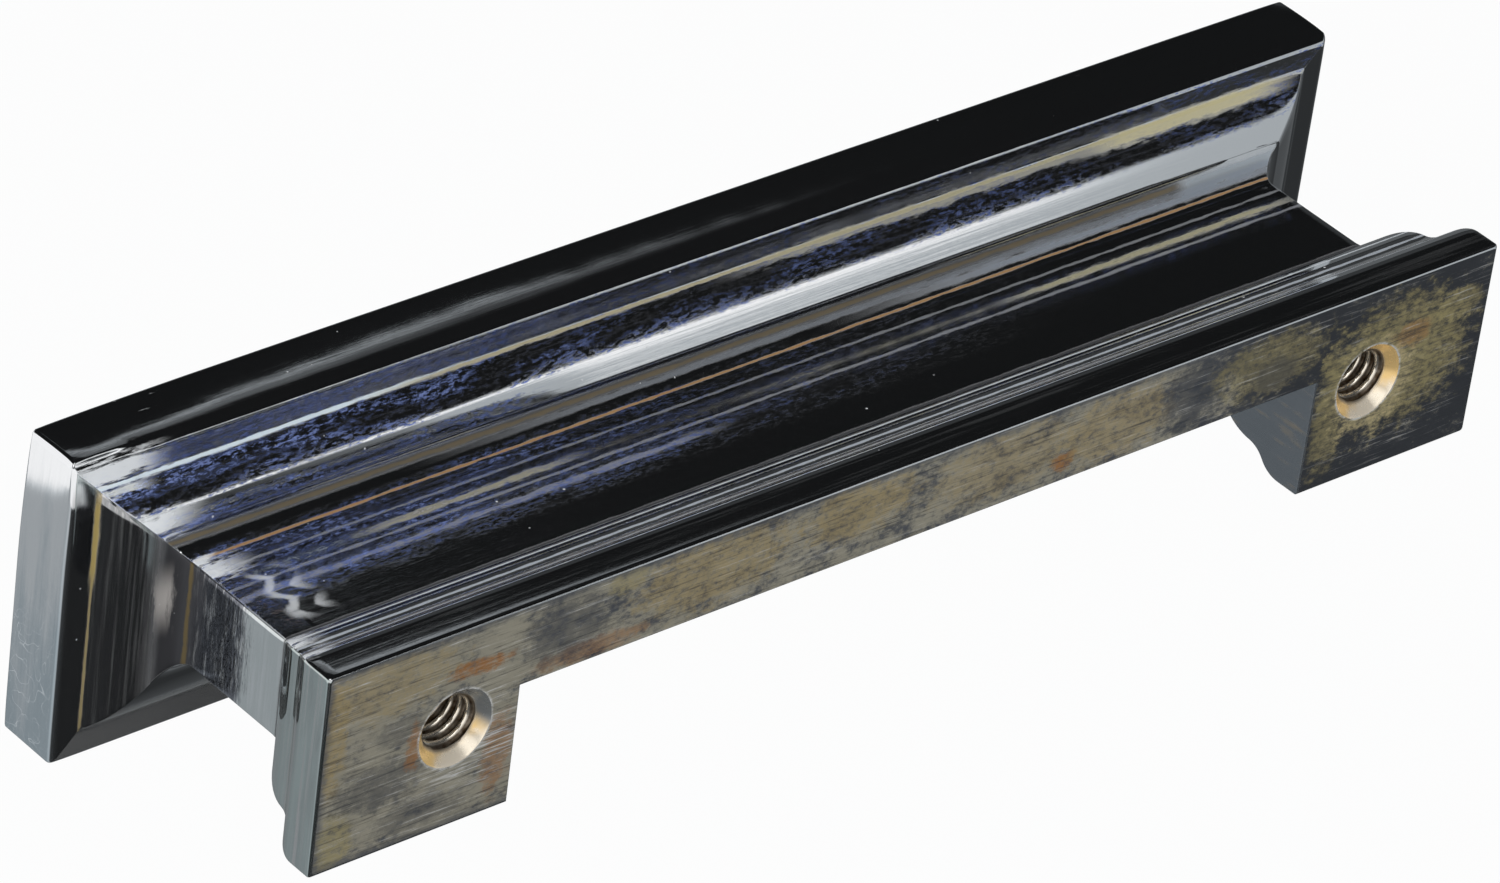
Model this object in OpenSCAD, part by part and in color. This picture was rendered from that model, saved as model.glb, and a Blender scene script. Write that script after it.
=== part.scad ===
// Bin pull: one solid metal piece with a mitred moulding all round.
// A plain front plate stands on a waisted neck, the neck stands on a moulded
// base, and a finger pocket is cut up from below behind the plate.
// Frame: X along the pull, Z up, Y = 0 on the back face, front towards -Y.
// The origin lies half way between the two screw holes on the back face.

/* [Front plate] */
// Length of the front plate
plate_len = 104.2; // [80:0.1:160]
// Height of the front plate
plate_h = 22; // [20:0.1:30]
// Thickness of the front plate at its edges
plate_t = 5; // [3:0.1:8]
// Radius of the plate's softened front edges
front_edge_r = 0.3; // [0.2:0.1:1.4]
// Radius of the plate's softened rear edges
rear_edge_r = 0.5; // [0.2:0.05:0.8]

/* [Depth] */
// Distance from the back face to the front of the plate
depth = 26.2; // [24:0.1:34]

/* [Moulding behind the plate] */
// Set-back of the neck from the plate's edges, the same on all four sides
neck_inset = 7.25; // [7:0.05:7.6]
// Width of the flat strip round the back of the plate
strip_w = 1.95; // [1.2:0.05:2.2]
// Radius of the convex swell that rises from the flat strip to the crest
swell_r = 5.4; // [4.6:0.1:7]
// Height of the crest above the flat strip
crest_rise = 2.1; // [1.6:0.1:2.4]
// Radius of the cove that runs from the crest into the neck
cove_r = 1.9; // [1.4:0.1:2.1]

/* [Moulding of the base] */
// Set-back of the base from the plate's edges, the same on all four sides
base_inset = 3.6; // [3:0.05:4]
// Depth of the straight band at the back of the base
band_t = 1.9; // [1.2:0.1:2.4]
// Radius of the quarter round in front of the band
lip_r = 2.2; // [1.8:0.1:2.4]
// Reach of the bead from the face of the neck
bead_reach = 2.1; // [1.6:0.1:2.2]
// Distance from the back face to the widest line of the bead
bead_at = 4.7; // [4.3:0.1:5.2]
// Radius of the bead's round back
bead_r = 4; // [3:0.1:4.5]
// Radius of the hollow between the bead and the quarter round
quirk_r = 2; // [1:0.1:2.5]
// Radius of the softened rim round the back face
rim_r = 0.25; // [0.1:0.05:0.5]

/* [Finger pocket] */
// Length of each foot along the pull
foot_len = 15.3; // [13:0.1:20]
// Height of the bar that is left above the pocket
bar_h = 6; // [5:0.1:6.5]
// Distance from the back face to the pocket's front wall
pocket_depth = 17; // [10:0.1:17.5]
// Radius left by the cutter in the pocket's upright corners
pocket_corner_r = 1.5; // [0.5:0.1:3]

/* [Screw holes] */
// Distance between the centres of the two screw holes
hole_spacing = 76.2; // [60:0.1:120]
// Radius of each screw hole, at the outside of its thread
screw_r = 2.085; // [1.5:0.005:2.5]
// Depth of each hole's full round wall from the back face
screw_depth = 12; // [6:0.5:18]
// Radius of the countersink where it meets the back face
mouth_r = 2.75; // [2.6:0.05:3.2]
// Included angle of the drill point at the bottom of each hole
drill_point = 118; // [90:1:150]

/* [Hidden] */

// Fineness of small round edges, of moulding arcs and of the round holes
edge_fn = 32;
arc_fn = 96;
hole_fn = 64;
// Overshoot that lets a cut run cleanly past a face
past = 1;

neck_len = plate_len - 2 * neck_inset;
neck_h = plate_h - 2 * neck_inset;
base_len = plate_len - 2 * base_inset;
base_h = plate_h - 2 * base_inset;
base_reach = neck_inset - base_inset;
plate_back = depth - plate_t;

// The swell is an arc from the strip's inner edge to the crest. The cove is
// level at the crest and the swell is not, so a crisp edge runs between them.
swell_span = neck_inset - strip_w - cove_r;
cove_at = plate_back - crest_rise;
swell_chord = norm([swell_span, crest_rise]);
swell_lift = sqrt(swell_r * swell_r - swell_chord * swell_chord / 4);
swell_centre = [
    cove_r + swell_span / 2 - swell_lift * crest_rise / swell_chord,
    cove_at + crest_rise / 2 + swell_lift * swell_span / swell_chord
];

// The hollow touches both the bead's round back and the quarter round, so its
// centre lies at a set distance from the centres of both.
bead_centre = [bead_reach - bead_r, bead_at];
lip_centre = [base_reach - lip_r, band_t];
between = bead_centre - lip_centre;
apart = norm(between);
toward = between / apart;
along = (pow(lip_r + quirk_r, 2) - pow(bead_r + quirk_r, 2) + apart * apart) / (2 * apart);
across = sqrt(pow(lip_r + quirk_r, 2) - along * along);
quirk_centre = lip_centre + along * toward + across * [toward[1], -toward[0]];

pocket_len = base_len - 2 * foot_len;
pocket_top = base_h / 2 - bar_h;
sink_t = mouth_r - screw_r;
point_t = screw_r / tan(drill_point / 2);

// Square corner with a round taken out of it: what is cut off an outer corner
// at the origin whose metal lies towards -x and -y.
module corner_waste(r) {
    difference() {
        translate([-r, -r]) square(r + past);
        translate([-r, -r]) circle(r, $fn = edge_fn);
    }
}

// Outline of the base moulding beyond the neck's face: x is the reach
// outwards from the neck and y the distance forwards from the back face.
module base_outline() {
    square([base_reach, band_t]);
    square([lip_centre[0], band_t + lip_r]);
    intersection() {
        translate(lip_centre) circle(lip_r, $fn = arc_fn);
        square([base_reach, band_t + lip_r]);
    }
    square([bead_reach, bead_at]);
    intersection() {
        translate(bead_centre) circle(bead_r, $fn = arc_fn);
        translate([0, bead_at]) square([bead_reach, bead_r]);
    }
    difference() {
        polygon([bead_centre, lip_centre, quirk_centre]);
        translate(quirk_centre) circle(quirk_r, $fn = arc_fn);
    }
}

// Outline of the moulding behind the plate: a cove out of the neck up to the
// crest, then the swell down to the flat strip.
module swell_outline() {
    difference() {
        translate([0, cove_at - cove_r]) square([cove_r, depth - cove_at]);
        translate([cove_r, cove_at - cove_r]) circle(cove_r, $fn = arc_fn);
    }
    intersection() {
        translate(swell_centre) circle(swell_r, $fn = arc_fn);
        translate([cove_r, cove_at]) square([swell_span, depth - cove_at - past]);
    }
}

// One whole section across the pull, for a neck of the given width.
module section(neck_w) {
    difference() {
        union() {
            translate([-neck_w / 2, 0]) square([neck_w, depth]);
            for (side = [0, 1]) {
                mirror([side, 0]) translate([neck_w / 2, 0]) {
                    base_outline();
                    swell_outline();
                    translate([0, plate_back]) square([neck_inset, plate_t]);
                }
            }
        }
        for (side = [0, 1]) {
            mirror([side, 0]) translate([neck_w / 2, 0]) {
                translate([base_reach, 0]) mirror([0, 1]) corner_waste(rim_r);
                translate([neck_inset, plate_back]) mirror([0, 1]) corner_waste(rear_edge_r);
                translate([neck_inset, depth]) corner_waste(front_edge_r);
            }
        }
    }
}

// Two sections crossed at right angles: each corner of the moulding is a
// true mitre because both runs share one outline.
module mitred_block() {
    intersection() {
        linear_extrude(height = plate_h + 2 * past, center = true)
            mirror([0, 1]) section(neck_len);
        rotate([90, 0, 90])
            linear_extrude(height = plate_len + 2 * past, center = true)
                rotate(90) section(neck_h);
    }
}

// Space between the feet, open to the back and below, up to the bar.
module finger_pocket() {
    drop = base_h / 2 + pocket_top + past;
    translate([0, 0, pocket_top - drop])
        linear_extrude(height = drop)
            union() {
                translate([-pocket_len / 2, pocket_corner_r - pocket_depth])
                    square([pocket_len, pocket_depth - pocket_corner_r + past]);
                translate([pocket_corner_r - pocket_len / 2, -pocket_depth])
                    square([pocket_len - 2 * pocket_corner_r, pocket_depth]);
                for (side = [-1, 1]) {
                    translate([side * (pocket_len / 2 - pocket_corner_r), pocket_corner_r - pocket_depth])
                        circle(pocket_corner_r, $fn = edge_fn);
                }
            }
}

// Blind screw hole with a countersunk mouth, drilled forwards from the back.
module screw_hole() {
    rotate([90, 0, 0]) {
        translate([0, 0, -past]) cylinder(r = screw_r, h = screw_depth + past, $fn = hole_fn);
        translate([0, 0, -past])
            cylinder(r1 = mouth_r + past, r2 = screw_r, h = sink_t + past, $fn = hole_fn);
        translate([0, 0, screw_depth]) cylinder(r1 = screw_r, r2 = 0, h = point_t, $fn = hole_fn);
    }
}

module pull_body() {
    color([0.62, 0.62, 0.60])
        difference() {
            mitred_block();
            finger_pocket();
            for (side = [-1, 1]) {
                translate([side * hole_spacing / 2, 0, 0]) screw_hole();
            }
        }
}

pull_body();
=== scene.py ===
"""Looks of a mitred bin pull: plated body with buffed edges, brushed back and tapped holes."""

import logging
import math
from collections.abc import Callable, Mapping, Sequence
from dataclasses import dataclass, field
from enum import Enum
from typing import Protocol

import bmesh
import bpy
import numpy as np
from mathutils import Matrix, Vector


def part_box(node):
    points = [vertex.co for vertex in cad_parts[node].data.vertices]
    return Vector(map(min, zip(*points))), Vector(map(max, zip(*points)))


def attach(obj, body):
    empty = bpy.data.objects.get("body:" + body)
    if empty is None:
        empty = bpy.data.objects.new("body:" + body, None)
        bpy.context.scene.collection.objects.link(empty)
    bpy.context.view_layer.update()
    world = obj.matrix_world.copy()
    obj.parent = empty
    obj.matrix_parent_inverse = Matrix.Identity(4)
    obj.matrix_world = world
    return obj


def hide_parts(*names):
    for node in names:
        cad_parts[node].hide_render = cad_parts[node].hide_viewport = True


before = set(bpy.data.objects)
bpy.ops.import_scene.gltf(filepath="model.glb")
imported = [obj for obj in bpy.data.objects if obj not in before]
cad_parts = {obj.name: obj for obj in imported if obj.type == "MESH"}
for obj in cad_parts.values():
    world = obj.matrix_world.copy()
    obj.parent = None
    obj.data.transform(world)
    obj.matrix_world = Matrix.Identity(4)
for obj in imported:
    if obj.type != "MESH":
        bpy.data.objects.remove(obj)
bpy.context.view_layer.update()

LOG = logging.getLogger("bin_pull")
MM = 0.001
CAD_NODE = "pull_body"
ROOT_BODY = "root"
METAL_SLOT = "plated_metal"

Point = tuple[float, float]
Colour = tuple[float, float, float]


class Region(Enum):
    """Which finish a face of the body takes: the index of its material slot."""

    PLATED = 0
    BACK = 1
    POCKET = 2
    BORE = 3


class Side(Enum):
    """Which runs of the moulding carry a film."""

    ALL = "all"
    TOP = "top"
    END = "near end"


class Expr:
    """A socket or number in a node tree, with arithmetic that adds Math nodes."""

    def __init__(self, graph: "Graph", socket: bpy.types.NodeSocket | float | None) -> None:
        """Wraps a socket, or a plain number, of the given graph."""
        self.graph = graph
        self.socket = socket

    def out(self, key: str | int) -> "Expr":
        """Another output of the node that this value comes from."""
        return Expr(self.graph, self.socket.node.outputs[key])

    def _math(self, operation: str, *others: "Expr | float") -> "Expr":
        """Adds a Math node on this value and the others."""
        return self.graph.add("ShaderNodeMath", {"operation": operation}, [self, *others])

    def __add__(self, other: "Expr | float") -> "Expr":
        """Sum."""
        return self._math("ADD", other)

    __radd__ = __add__

    def __mul__(self, other: "Expr | float") -> "Expr":
        """Product."""
        return self._math("MULTIPLY", other)

    __rmul__ = __mul__

    def __sub__(self, other: "Expr | float") -> "Expr":
        """Difference."""
        return self._math("SUBTRACT", other)

    def __rsub__(self, other: float) -> "Expr":
        """Difference with this value taken away."""
        return Expr(self.graph, other)._math("SUBTRACT", self)

    def __truediv__(self, other: "Expr | float") -> "Expr":
        """Quotient."""
        return self._math("DIVIDE", other)

    def __rtruediv__(self, other: float) -> "Expr":
        """Quotient with this value as the divisor."""
        return Expr(self.graph, other)._math("DIVIDE", self)

    def __neg__(self) -> "Expr":
        """The value with its sign turned."""
        return self._math("MULTIPLY", -1.0)

    def __abs__(self) -> "Expr":
        """Absolute value."""
        return self._math("ABSOLUTE")

    def root(self) -> "Expr":
        """Square root."""
        return self._math("SQRT")

    def sine(self) -> "Expr":
        """Sine of the value in radians."""
        return self._math("SINE")

    def cosine(self) -> "Expr":
        """Cosine of the value in radians."""
        return self._math("COSINE")

    def angle_from(self, other: "Expr | float") -> "Expr":
        """Angle whose tangent is this value over the other."""
        return self._math("ARCTAN2", other)

    def fraction(self) -> "Expr":
        """What is left above the whole number below."""
        return self._math("FRACT")

    def at_least(self, other: "Expr | float") -> "Expr":
        """The larger of two values."""
        return self._math("MAXIMUM", other)

    def at_most(self, other: "Expr | float") -> "Expr":
        """The smaller of two values."""
        return self._math("MINIMUM", other)

    def above(self, other: "Expr | float") -> "Expr":
        """1 where this value is the greater, and else 0."""
        return self._math("GREATER_THAN", other)

    def ramp(self, low: "Expr | float", high: "Expr | float") -> "Expr":
        """Rises smoothly from 0 at low to 1 at high, and falls where low is the greater."""
        values = {"Value": self, "From Min": low, "From Max": high}
        return self.graph.add("ShaderNodeMapRange", {"interpolation_type": "SMOOTHSTEP"}, values)

    def band(self, start: float, full: float, fall: float, gone: float) -> "Expr":
        """1 between full and fall, with a smooth rise from start before it and a fall to gone after it."""
        return self.ramp(start, full) * self.ramp(gone, fall)

    def swing(self, width: float) -> "Expr":
        """Makes a noise, which runs from 0 to 1, swing about 0 over the given width."""
        return (self - 0.5) * width

    def toward(self, other: "Expr | float", share: "Expr | float") -> "Expr":
        """Moves from this value to the other by a share."""
        return (other - self) * share + self


def distance(across: Expr, up: Expr) -> Expr:
    """Length of two offsets that lie at right angles."""
    return (across * across + up * up).root()


@dataclass
class Graph:
    """A node tree under construction, for a material, a world or geometry."""

    tree: bpy.types.NodeTree

    def add(
        self,
        kind: str,
        settings: Mapping[str, object] | None = None,
        values: Mapping[str, object] | Sequence[object] = (),
        output: str | int = 0,
    ) -> Expr:
        """Adds one node.

        Args:
            kind: The node's type.
            settings: Its own settings, set first. The key stops holds a ramp's positions and tones.
            values: Values or links of its sockets, by name or in order.
            output: The name or place of the output wanted.

        Returns:
            The wanted output, or an empty value for a node with none.
        """
        node = self.tree.nodes.new(kind)
        for name, setting in (settings or {}).items():
            if name == "stops":
                self._set_stops(node, setting)
            else:
                setattr(node, name, setting)
        pairs = values.items() if isinstance(values, Mapping) else enumerate(values)
        for key, value in pairs:
            self._feed(self._input(node, key), value)
        return Expr(self, node.outputs[output] if node.outputs else None)

    def mix(self, factor: Expr | float, first: object, second: object, blend: str = "MIX") -> Expr:
        """Mixes two colours, each a colour or a link to one.

        Args:
            factor: The share of the second colour.
            first: The first colour, or a link to one.
            second: The second colour, or a link to one.
            blend: How the two are mixed.

        Returns:
            The mixed colour.
        """
        settings = {"data_type": "RGBA", "blend_type": blend}
        values = {"Factor_Float": factor, "A_Color": first, "B_Color": second}
        return self.add("ShaderNodeMix", settings, values, output=2)

    def vector(self, x: Expr | float, y: Expr | float, z: Expr | float) -> Expr:
        """Joins three values into a vector."""
        return self.add("ShaderNodeCombineXYZ", None, [x, y, z])

    def noise(
        self,
        x: Expr | float,
        y: Expr | float,
        z: Expr | float,
        detail: float = 2.0,
        rough: float = 0.5,
    ) -> Expr:
        """Soft noise from 0 to 1 at a place, about one lump to each unit."""
        values = {"Vector": self.vector(x, y, z), "Scale": 1.0, "Detail": detail, "Roughness": rough}
        return self.add("ShaderNodeTexNoise", None, values)

    def metal(self, colour: Expr, metallic: Expr | float, rough: Expr, height: Expr | None = None) -> Expr:
        """Adds the shader of a metal surface, bumped where it has a height in millimetres.

        Args:
            colour: The surface's colour.
            metallic: How far it shades as metal.
            rough: Its roughness.
            height: Its height in millimetres, or none where it is smooth.

        Returns:
            The shader.
        """
        values = {"Base Color": colour, "Metallic": metallic, "Roughness": rough}
        if height is not None:
            bump = {"Strength": 1.0, "Distance": MM, "Height": height}
            values["Normal"] = self.add("ShaderNodeBump", None, bump)
        return self.add("ShaderNodeBsdfPrincipled", None, values)

    @staticmethod
    def _set_stops(node: bpy.types.Node, stops: Sequence[tuple[float, float]]) -> None:
        """Sets a colour ramp's stops to grey tones.

        Args:
            node: The node.
            stops: Its stops, as positions and grey tones.
        """
        elements = node.color_ramp.elements
        while len(elements) < len(stops):
            elements.new(1.0)
        for element, (position, tone) in zip(elements, stops):
            element.position = position
            element.color = (tone, tone, tone, 1.0)

    @staticmethod
    def _input(node: bpy.types.Node, key: str | int) -> bpy.types.NodeSocket:
        """Finds an input by place, identifier or name.

        Args:
            node: The node.
            key: The input's place, identifier or name.

        Returns:
            The input.
        """
        if isinstance(key, int):
            return node.inputs[key]
        for socket in node.inputs:
            if socket.identifier == key:
                return socket
        return node.inputs[key]

    def _feed(self, socket: bpy.types.NodeSocket, value: object) -> None:
        """Links a socket or sets its value.

        Args:
            socket: The socket.
            value: Another socket, a number, a colour or a vector.
        """
        if isinstance(value, Expr):
            value = value.socket
        if isinstance(value, bpy.types.NodeSocket):
            self.tree.links.new(value, socket)
        elif isinstance(value, tuple) and socket.type == "RGBA" and len(value) == 3:
            socket.default_value = (*value, 1.0)
        else:
            socket.default_value = value


@dataclass(frozen=True)
class Moulding:
    """The section that runs all round the body, in millimetres.

    Reach is measured outwards from the face of the neck, and depth forwards from the back face.
    """

    depth: float = 26.2
    neck_inset: float = 7.25
    base_inset: float = 3.6
    strip_w: float = 1.95
    swell_r: float = 5.4
    crest_rise: float = 2.1
    cove_r: float = 1.9
    plate_t: float = 5.0
    front_edge_r: float = 0.3
    rear_edge_r: float = 0.5
    band_t: float = 1.9
    lip_r: float = 2.2
    bead_reach: float = 2.1
    bead_at: float = 4.7
    bead_r: float = 4.0
    quirk_r: float = 2.0
    rim_r: float = 0.25
    facet_tilt: float = 25.0
    strip_ease: float = 0.16
    crest_ease: float = 0.1
    bead_ease: float = 0.12
    ease_steps: int = 6
    arc_step: float = 5.0
    longest_step: float = 0.7
    shortest_step: float = 0.001
    facet_samples: int = 400

    @property
    def plate_back(self) -> float:
        """Depth of the flat strip behind the plate."""
        return self.depth - self.plate_t

    @property
    def strip_end(self) -> float:
        """Reach of the strip's inner edge."""
        return self.neck_inset - self.strip_w

    @property
    def crest_at(self) -> float:
        """Depth of the crest."""
        return self.plate_back - self.crest_rise

    @property
    def base_reach(self) -> float:
        """Reach of the base beyond the neck."""
        return self.neck_inset - self.base_inset

    @property
    def swell_centre(self) -> np.ndarray:
        """Centre of the swell's arc.

        Returns:
            The centre, as reach and depth.
        """
        span = self.strip_end - self.cove_r
        chord = math.hypot(span, self.crest_rise)
        lift = math.sqrt(self.swell_r**2 - chord**2 / 4)
        middle = np.array([self.cove_r + span / 2, self.crest_at + self.crest_rise / 2])
        return middle + lift / chord * np.array([-self.crest_rise, span])

    @property
    def base_centres(self) -> tuple[np.ndarray, np.ndarray, np.ndarray]:
        """Centres of the bead, of the hollow and of the lip.

        Returns:
            The three centres, as reach and depth.
        """
        bead = np.array([self.bead_reach - self.bead_r, self.bead_at])
        lip = np.array([self.base_reach - self.lip_r, self.band_t])
        apart = float(np.linalg.norm(bead - lip))
        toward = (bead - lip) / apart
        reach = self.lip_r + self.quirk_r
        along = (reach**2 - (self.bead_r + self.quirk_r) ** 2 + apart**2) / (2 * apart)
        across = math.sqrt(reach**2 - along**2)
        return bead, lip + along * toward + across * np.array([toward[1], -toward[0]]), lip

    def arc(self, centre: Sequence[float], radius: float, start: float, end: float) -> list[Point]:
        """Points along an arc, both ends among them.

        Args:
            centre: Its centre, as reach and depth.
            radius: Its radius.
            start: The first angle in degrees, from outwards towards the front.
            end: The last angle in degrees.

        Returns:
            The points.
        """
        count = max(2, math.ceil(abs(end - start) / self.arc_step))
        angles = np.radians(np.linspace(start, end, count + 1))
        ways = [(math.cos(angle), math.sin(angle)) for angle in angles]
        return [(float(centre[0] + radius * out), float(centre[1] + radius * up)) for out, up in ways]

    def outline(self) -> list[Point]:
        """The whole section, from the front face's edge to the back face's edge.

        Returns:
            Points as reach and depth.
        """
        edge, back = self.neck_inset, self.plate_back
        front_r, rear_r = self.front_edge_r, self.rear_edge_r
        plate = self.arc((edge - front_r, self.depth - front_r), front_r, 90, 0)
        plate += self.arc((edge - rear_r, back + rear_r), rear_r, 0, -90)
        centre = self.swell_centre
        angles = [
            math.degrees(math.atan2(depth - centre[1], reach - centre[0]))
            for reach, depth in ((self.strip_end, back), (self.cove_r, self.crest_at))
        ]
        swell = self.arc(centre, self.swell_r, *angles)
        cove = self.arc((self.cove_r, self.crest_at - self.cove_r), self.cove_r, 90, 180)
        bead, hollow, lip = self.base_centres
        bead_end = math.degrees(math.atan2(*(hollow - bead)[::-1]))
        lip_start = math.degrees(math.atan2(*(hollow - lip)[::-1]))
        base = self.arc(bead, self.bead_r, math.degrees(math.acos(-bead[0] / self.bead_r)), bead_end)
        base += self.arc(hollow, self.quirk_r, bead_end + 180, lip_start + 180)[1:]
        base += self.arc(lip, self.lip_r, lip_start, 0)[1:]
        path = self._eased(plate, swell, self.strip_ease)
        path = self._eased(path, cove, self.crest_ease)
        path = self._eased(path, base, self.bead_ease)
        path += self.arc((self.base_reach - self.rim_r, self.rim_r), self.rim_r, 0, -90)
        return self._filled(path)

    def facet_shift(self, reach: float) -> float:
        """How much deeper the swell lies where buffing has left a flat facet next to the crest.

        Args:
            reach: Reach of the point on the swell.

        Returns:
            The distance towards the front, 0 at both ends of the swell.
        """
        if not self.cove_r < reach < self.strip_end:
            return 0.0
        samples = np.linspace(self.cove_r, self.strip_end, self.facet_samples)
        off = samples - self.swell_centre[0]
        slope = off / np.sqrt(self.swell_r**2 - off**2)
        level = math.tan(math.radians(self.facet_tilt))
        extra = np.maximum(slope - level, 0)
        span = samples[-1] - samples[0]
        width = span / (self.facet_samples - 1)
        share = (self.crest_rise - level * span) / (extra.sum() * width)
        shift = np.cumsum(level + share * extra - slope) * width
        return float(np.interp(reach, samples, shift - shift[-1] * (samples - samples[0]) / span))

    def _eased(self, first: list[Point], second: list[Point], reach: float) -> list[Point]:
        """Joins two paths and eases the corner between them.

        Args:
            first: The path that ends near the corner.
            second: The path that starts at the corner.
            reach: How far from the corner the easing starts.

        Returns:
            The joined path.
        """
        corner = np.array(second[0])
        before, after = list(first), list(second[1:])
        while len(before) > 2 and np.linalg.norm(np.array(before[-1]) - corner) < reach:
            before.pop()
        while len(after) > 2 and np.linalg.norm(np.array(after[0]) - corner) < reach:
            after.pop(0)
        ends = []
        for near in (before[-1], after[0]):
            way = np.array(near) - corner
            ends.append(corner + way / np.linalg.norm(way) * min(reach, float(np.linalg.norm(way))))
        steps = np.linspace(0, 1, self.ease_steps)
        curve = [(1 - s) ** 2 * ends[0] + 2 * s * (1 - s) * corner + s**2 * ends[1] for s in steps]
        return before + [(float(spot[0]), float(spot[1])) for spot in curve] + after

    def _filled(self, path: list[Point]) -> list[Point]:
        """Adds points so that no step is longer than the longest, and drops repeated points.

        Args:
            path: The path.

        Returns:
            The path with even steps.
        """
        out = [path[0]]
        for end in path[1:]:
            start = np.array(out[-1])
            way = np.array(end) - start
            length = float(np.linalg.norm(way))
            if length < self.shortest_step:
                continue
            count = math.ceil(length / self.longest_step)
            for k in range(1, count + 1):
                reach, depth = start + way * k / count
                out.append((float(reach), float(depth)))
        return out


@dataclass(frozen=True)
class Buffing:
    """How far hand buffing has worn the true form, in millimetres."""

    end_bow: float = 0.0042
    bow_from: float = 2.0
    bow_twist: float = 0.22
    bow_level: float = 23.7
    end_run: float = 5.0
    top_run: float = 3.0
    top_rise: float = 0.36
    plate_ease: float = 0.6
    plate_from: float = 5.6
    crown: float = 0.0112
    crown_wave: float = 0.1
    crown_line: tuple[Point, ...] = (
        (-52.0, 24.6),
        (-40.0, 25.1),
        (-17.0, 25.1),
        (0.0, 25.2),
        (20.0, 25.3),
        (30.0, 24.9),
        (40.0, 24.2),
        (52.0, 22.0),
    )
    mitre_rub: float = 0.05
    swell_rub: float = 0.15
    mitre_run: float = 0.8
    rub_from: float = 8.4
    strip_turn: float = 0.27
    strip_from: float = 45.8
    strip_run: float = 2.5
    strip_ease: float = 0.8
    ripple: float = 0.003
    facet_from: float = 28.0
    facet_to: float = 12.0


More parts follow.
